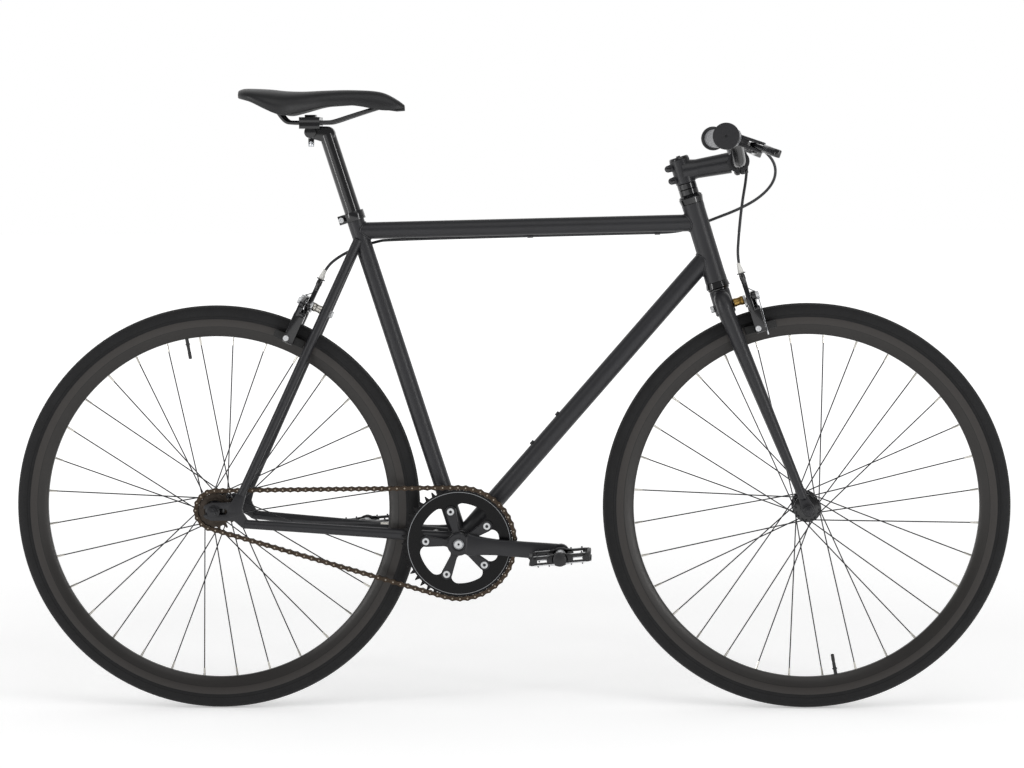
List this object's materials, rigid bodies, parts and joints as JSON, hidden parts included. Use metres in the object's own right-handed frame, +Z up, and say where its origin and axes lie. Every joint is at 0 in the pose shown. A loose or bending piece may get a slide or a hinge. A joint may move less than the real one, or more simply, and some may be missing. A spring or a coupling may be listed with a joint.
{
  "type": "fixed gear bicycle",
  "caption": "Flat-bar fixed gear city bike with a welded steel diamond frame, deep rims, rim brakes and one chainring driving one cog.",
  "frame": {"origin": "on the ground midway between the two tyre contacts, on the bike's middle plane", "axes": "+X forward, +Y to the rider's left, +Z up; the chain is on the right, at -Y"},
  "size_m": [1.6626, 0.6146, 1.0388],
  "materials": {
    "frame_paint": "matt charcoal",
    "black_alloy": "gloss black anodised",
    "satin_alloy": "satin black",
    "steel": "bright",
    "rim_alloy": "dark grey satin",
    "spoke_steel": "dark",
    "tyre": "matt",
    "chain_steel": "bronze",
    "grip_rubber": "matt",
    "saddle_cover": "satin",
    "saddle_shell": "matt",
    "pedal_plastic": "matt",
    "cable_housing": "satin"
  },
  "bodies": {
    "frame": {"head_tube": "frame_paint", "top_tube": "frame_paint", "down_tube": "frame_paint", "seat_tube": "frame_paint", "bottom_bracket_shell": "frame_paint", "chain_stays": "frame_paint", "seat_stays": "frame_paint", "stay_bridges": "frame_paint", "rear_dropouts": "frame_paint", "bottle_bosses": "frame_paint", "cable_guides": "frame_paint", "headset_cups": "black_alloy", "bottom_bracket_cups": "satin_alloy", "seat_clamp": "black_alloy", "rear_axle": "steel", "chain": "chain_steel", "rear_brake_bolt": "steel", "rear_brake_cable": "cable_housing"},
    "seat": {"seat_post": "black_alloy", "saddle_clamp": "steel", "saddle_rails": "steel", "saddle_shell": "saddle_shell", "saddle_cover": "saddle_cover"},
    "rear_wheel": {"rear_hub": "satin_alloy", "rear_cog": "chain_steel", "rear_spokes": "spoke_steel", "rear_rim": "rim_alloy", "rear_tyre": "tyre"},
    "crank": {"crank_spindle": "steel", "right_crank": "satin_alloy", "left_crank": "satin_alloy", "chainring": "black_alloy", "crank_bolts": "steel", "pedal_axles": "steel"},
    "right_pedal": {"right_pedal": "pedal_plastic"},
    "left_pedal": {"left_pedal": "pedal_plastic"},
    "steering": {"fork_steerer": "steel", "fork_crown": "frame_paint", "fork_blades": "frame_paint", "headset_spacers": "black_alloy", "stem": "satin_alloy", "stem_faceplate": "satin_alloy", "stem_bolts": "steel", "handlebar": "black_alloy", "grips": "grip_rubber", "lever_clamps": "satin_alloy", "front_axle": "steel", "front_brake_bolt": "steel", "front_brake_cable": "cable_housing", "rear_cable_loop": "cable_housing"},
    "left_lever": {"left_lever": "satin_alloy"},
    "right_lever": {"right_lever": "satin_alloy"},
    "front_cross_arm": {"front_caliper_cross_arm": "satin_alloy"},
    "front_side_arm": {"front_caliper_side_arm": "satin_alloy"},
    "rear_cross_arm": {"rear_caliper_cross_arm": "satin_alloy"},
    "rear_side_arm": {"rear_caliper_side_arm": "satin_alloy"},
    "front_wheel": {"front_hub": "satin_alloy", "front_spokes": "spoke_steel", "front_rim": "rim_alloy", "front_tyre": "tyre"}
  },
  "joints": [
    {"name": "rear_wheel_spin", "type": "hinge", "parent": "frame", "child": "rear_wheel", "pos_m": [-0.492, 0, 0.34], "axis": [0, 1, 0], "continuous": true, "deforming": ["chain"]},
    {"name": "crank_spin", "type": "hinge", "parent": "frame", "child": "crank", "pos_m": [-0.08584, 0, 0.284], "axis": [0, 1, 0], "continuous": true},
    {"name": "right_pedal_spin", "type": "hinge", "parent": "crank", "child": "right_pedal", "pos_m": [0.08374, 0, 0.27214], "axis": [0, 1, 0], "continuous": true},
    {"name": "left_pedal_spin", "type": "hinge", "parent": "crank", "child": "left_pedal", "pos_m": [-0.25543, 0, 0.29586], "axis": [0, 1, 0], "continuous": true},
    {"name": "steering", "type": "hinge", "parent": "frame", "child": "steering", "pos_m": [0.46044, 0, 0.33035], "axis": [-0.2924, 0, 0.9563], "range_deg": [-70, 70], "deforming": ["rear_cable_loop"]},
    {"name": "front_wheel_spin", "type": "hinge", "parent": "steering", "child": "front_wheel", "pos_m": [0.492, 0, 0.34], "axis": [0, 1, 0], "continuous": true},
    {"name": "left_lever_pull", "type": "hinge", "parent": "steering", "child": "left_lever", "pos_m": [0.39736, 0.17602, 0.93994], "axis": [0.3255, 0.0259, 0.9452], "range_deg": [0, 20], "stiffness_Nm_per_rad": 1},
    {"name": "right_lever_pull", "type": "hinge", "parent": "steering", "child": "right_lever", "pos_m": [0.39736, -0.17602, 0.93994], "axis": [-0.3255, 0.0259, -0.9452], "range_deg": [0, 20], "stiffness_Nm_per_rad": 1},
    {"name": "front_cross_arm_close", "type": "hinge", "parent": "steering", "child": "front_cross_arm", "pos_m": [0.35519, 0, 0.67462], "axis": [-0.9563, 0, -0.2924], "range_deg": [0, 2.22]},
    {"name": "front_side_arm_close", "type": "hinge", "parent": "steering", "child": "front_side_arm", "pos_m": [0.35694, -0.015, 0.66888], "axis": [0.9563, 0, 0.2924], "range_deg": [0, 2.22]},
    {"name": "rear_cross_arm_close", "type": "hinge", "parent": "frame", "child": "rear_cross_arm", "pos_m": [-0.30755, 0, 0.66662], "axis": [0.9078, 0, -0.4195], "range_deg": [0, 1.82]},
    {"name": "rear_side_arm_close", "type": "hinge", "parent": "frame", "child": "rear_side_arm", "pos_m": [-0.31007, 0.015, 0.66117], "axis": [-0.9078, 0, 0.4195], "range_deg": [0, 1.82]},
    {"name": "seat_slide", "type": "slide", "parent": "frame", "child": "seat", "axis": [-0.304, 0, 0.9527], "range_m": [-0.06, 0.04]}
  ],
  "couplings": [
    {"joint": "crank_spin", "follows": "rear_wheel_spin", "ratio": 0.34783},
    {"joint": "front_cross_arm_close", "follows": "left_lever_pull", "ratio": 0.11},
    {"joint": "front_side_arm_close", "follows": "left_lever_pull", "ratio": 0.11},
    {"joint": "rear_cross_arm_close", "follows": "right_lever_pull", "ratio": 0.09},
    {"joint": "rear_side_arm_close", "follows": "right_lever_pull", "ratio": 0.09}
  ]
}
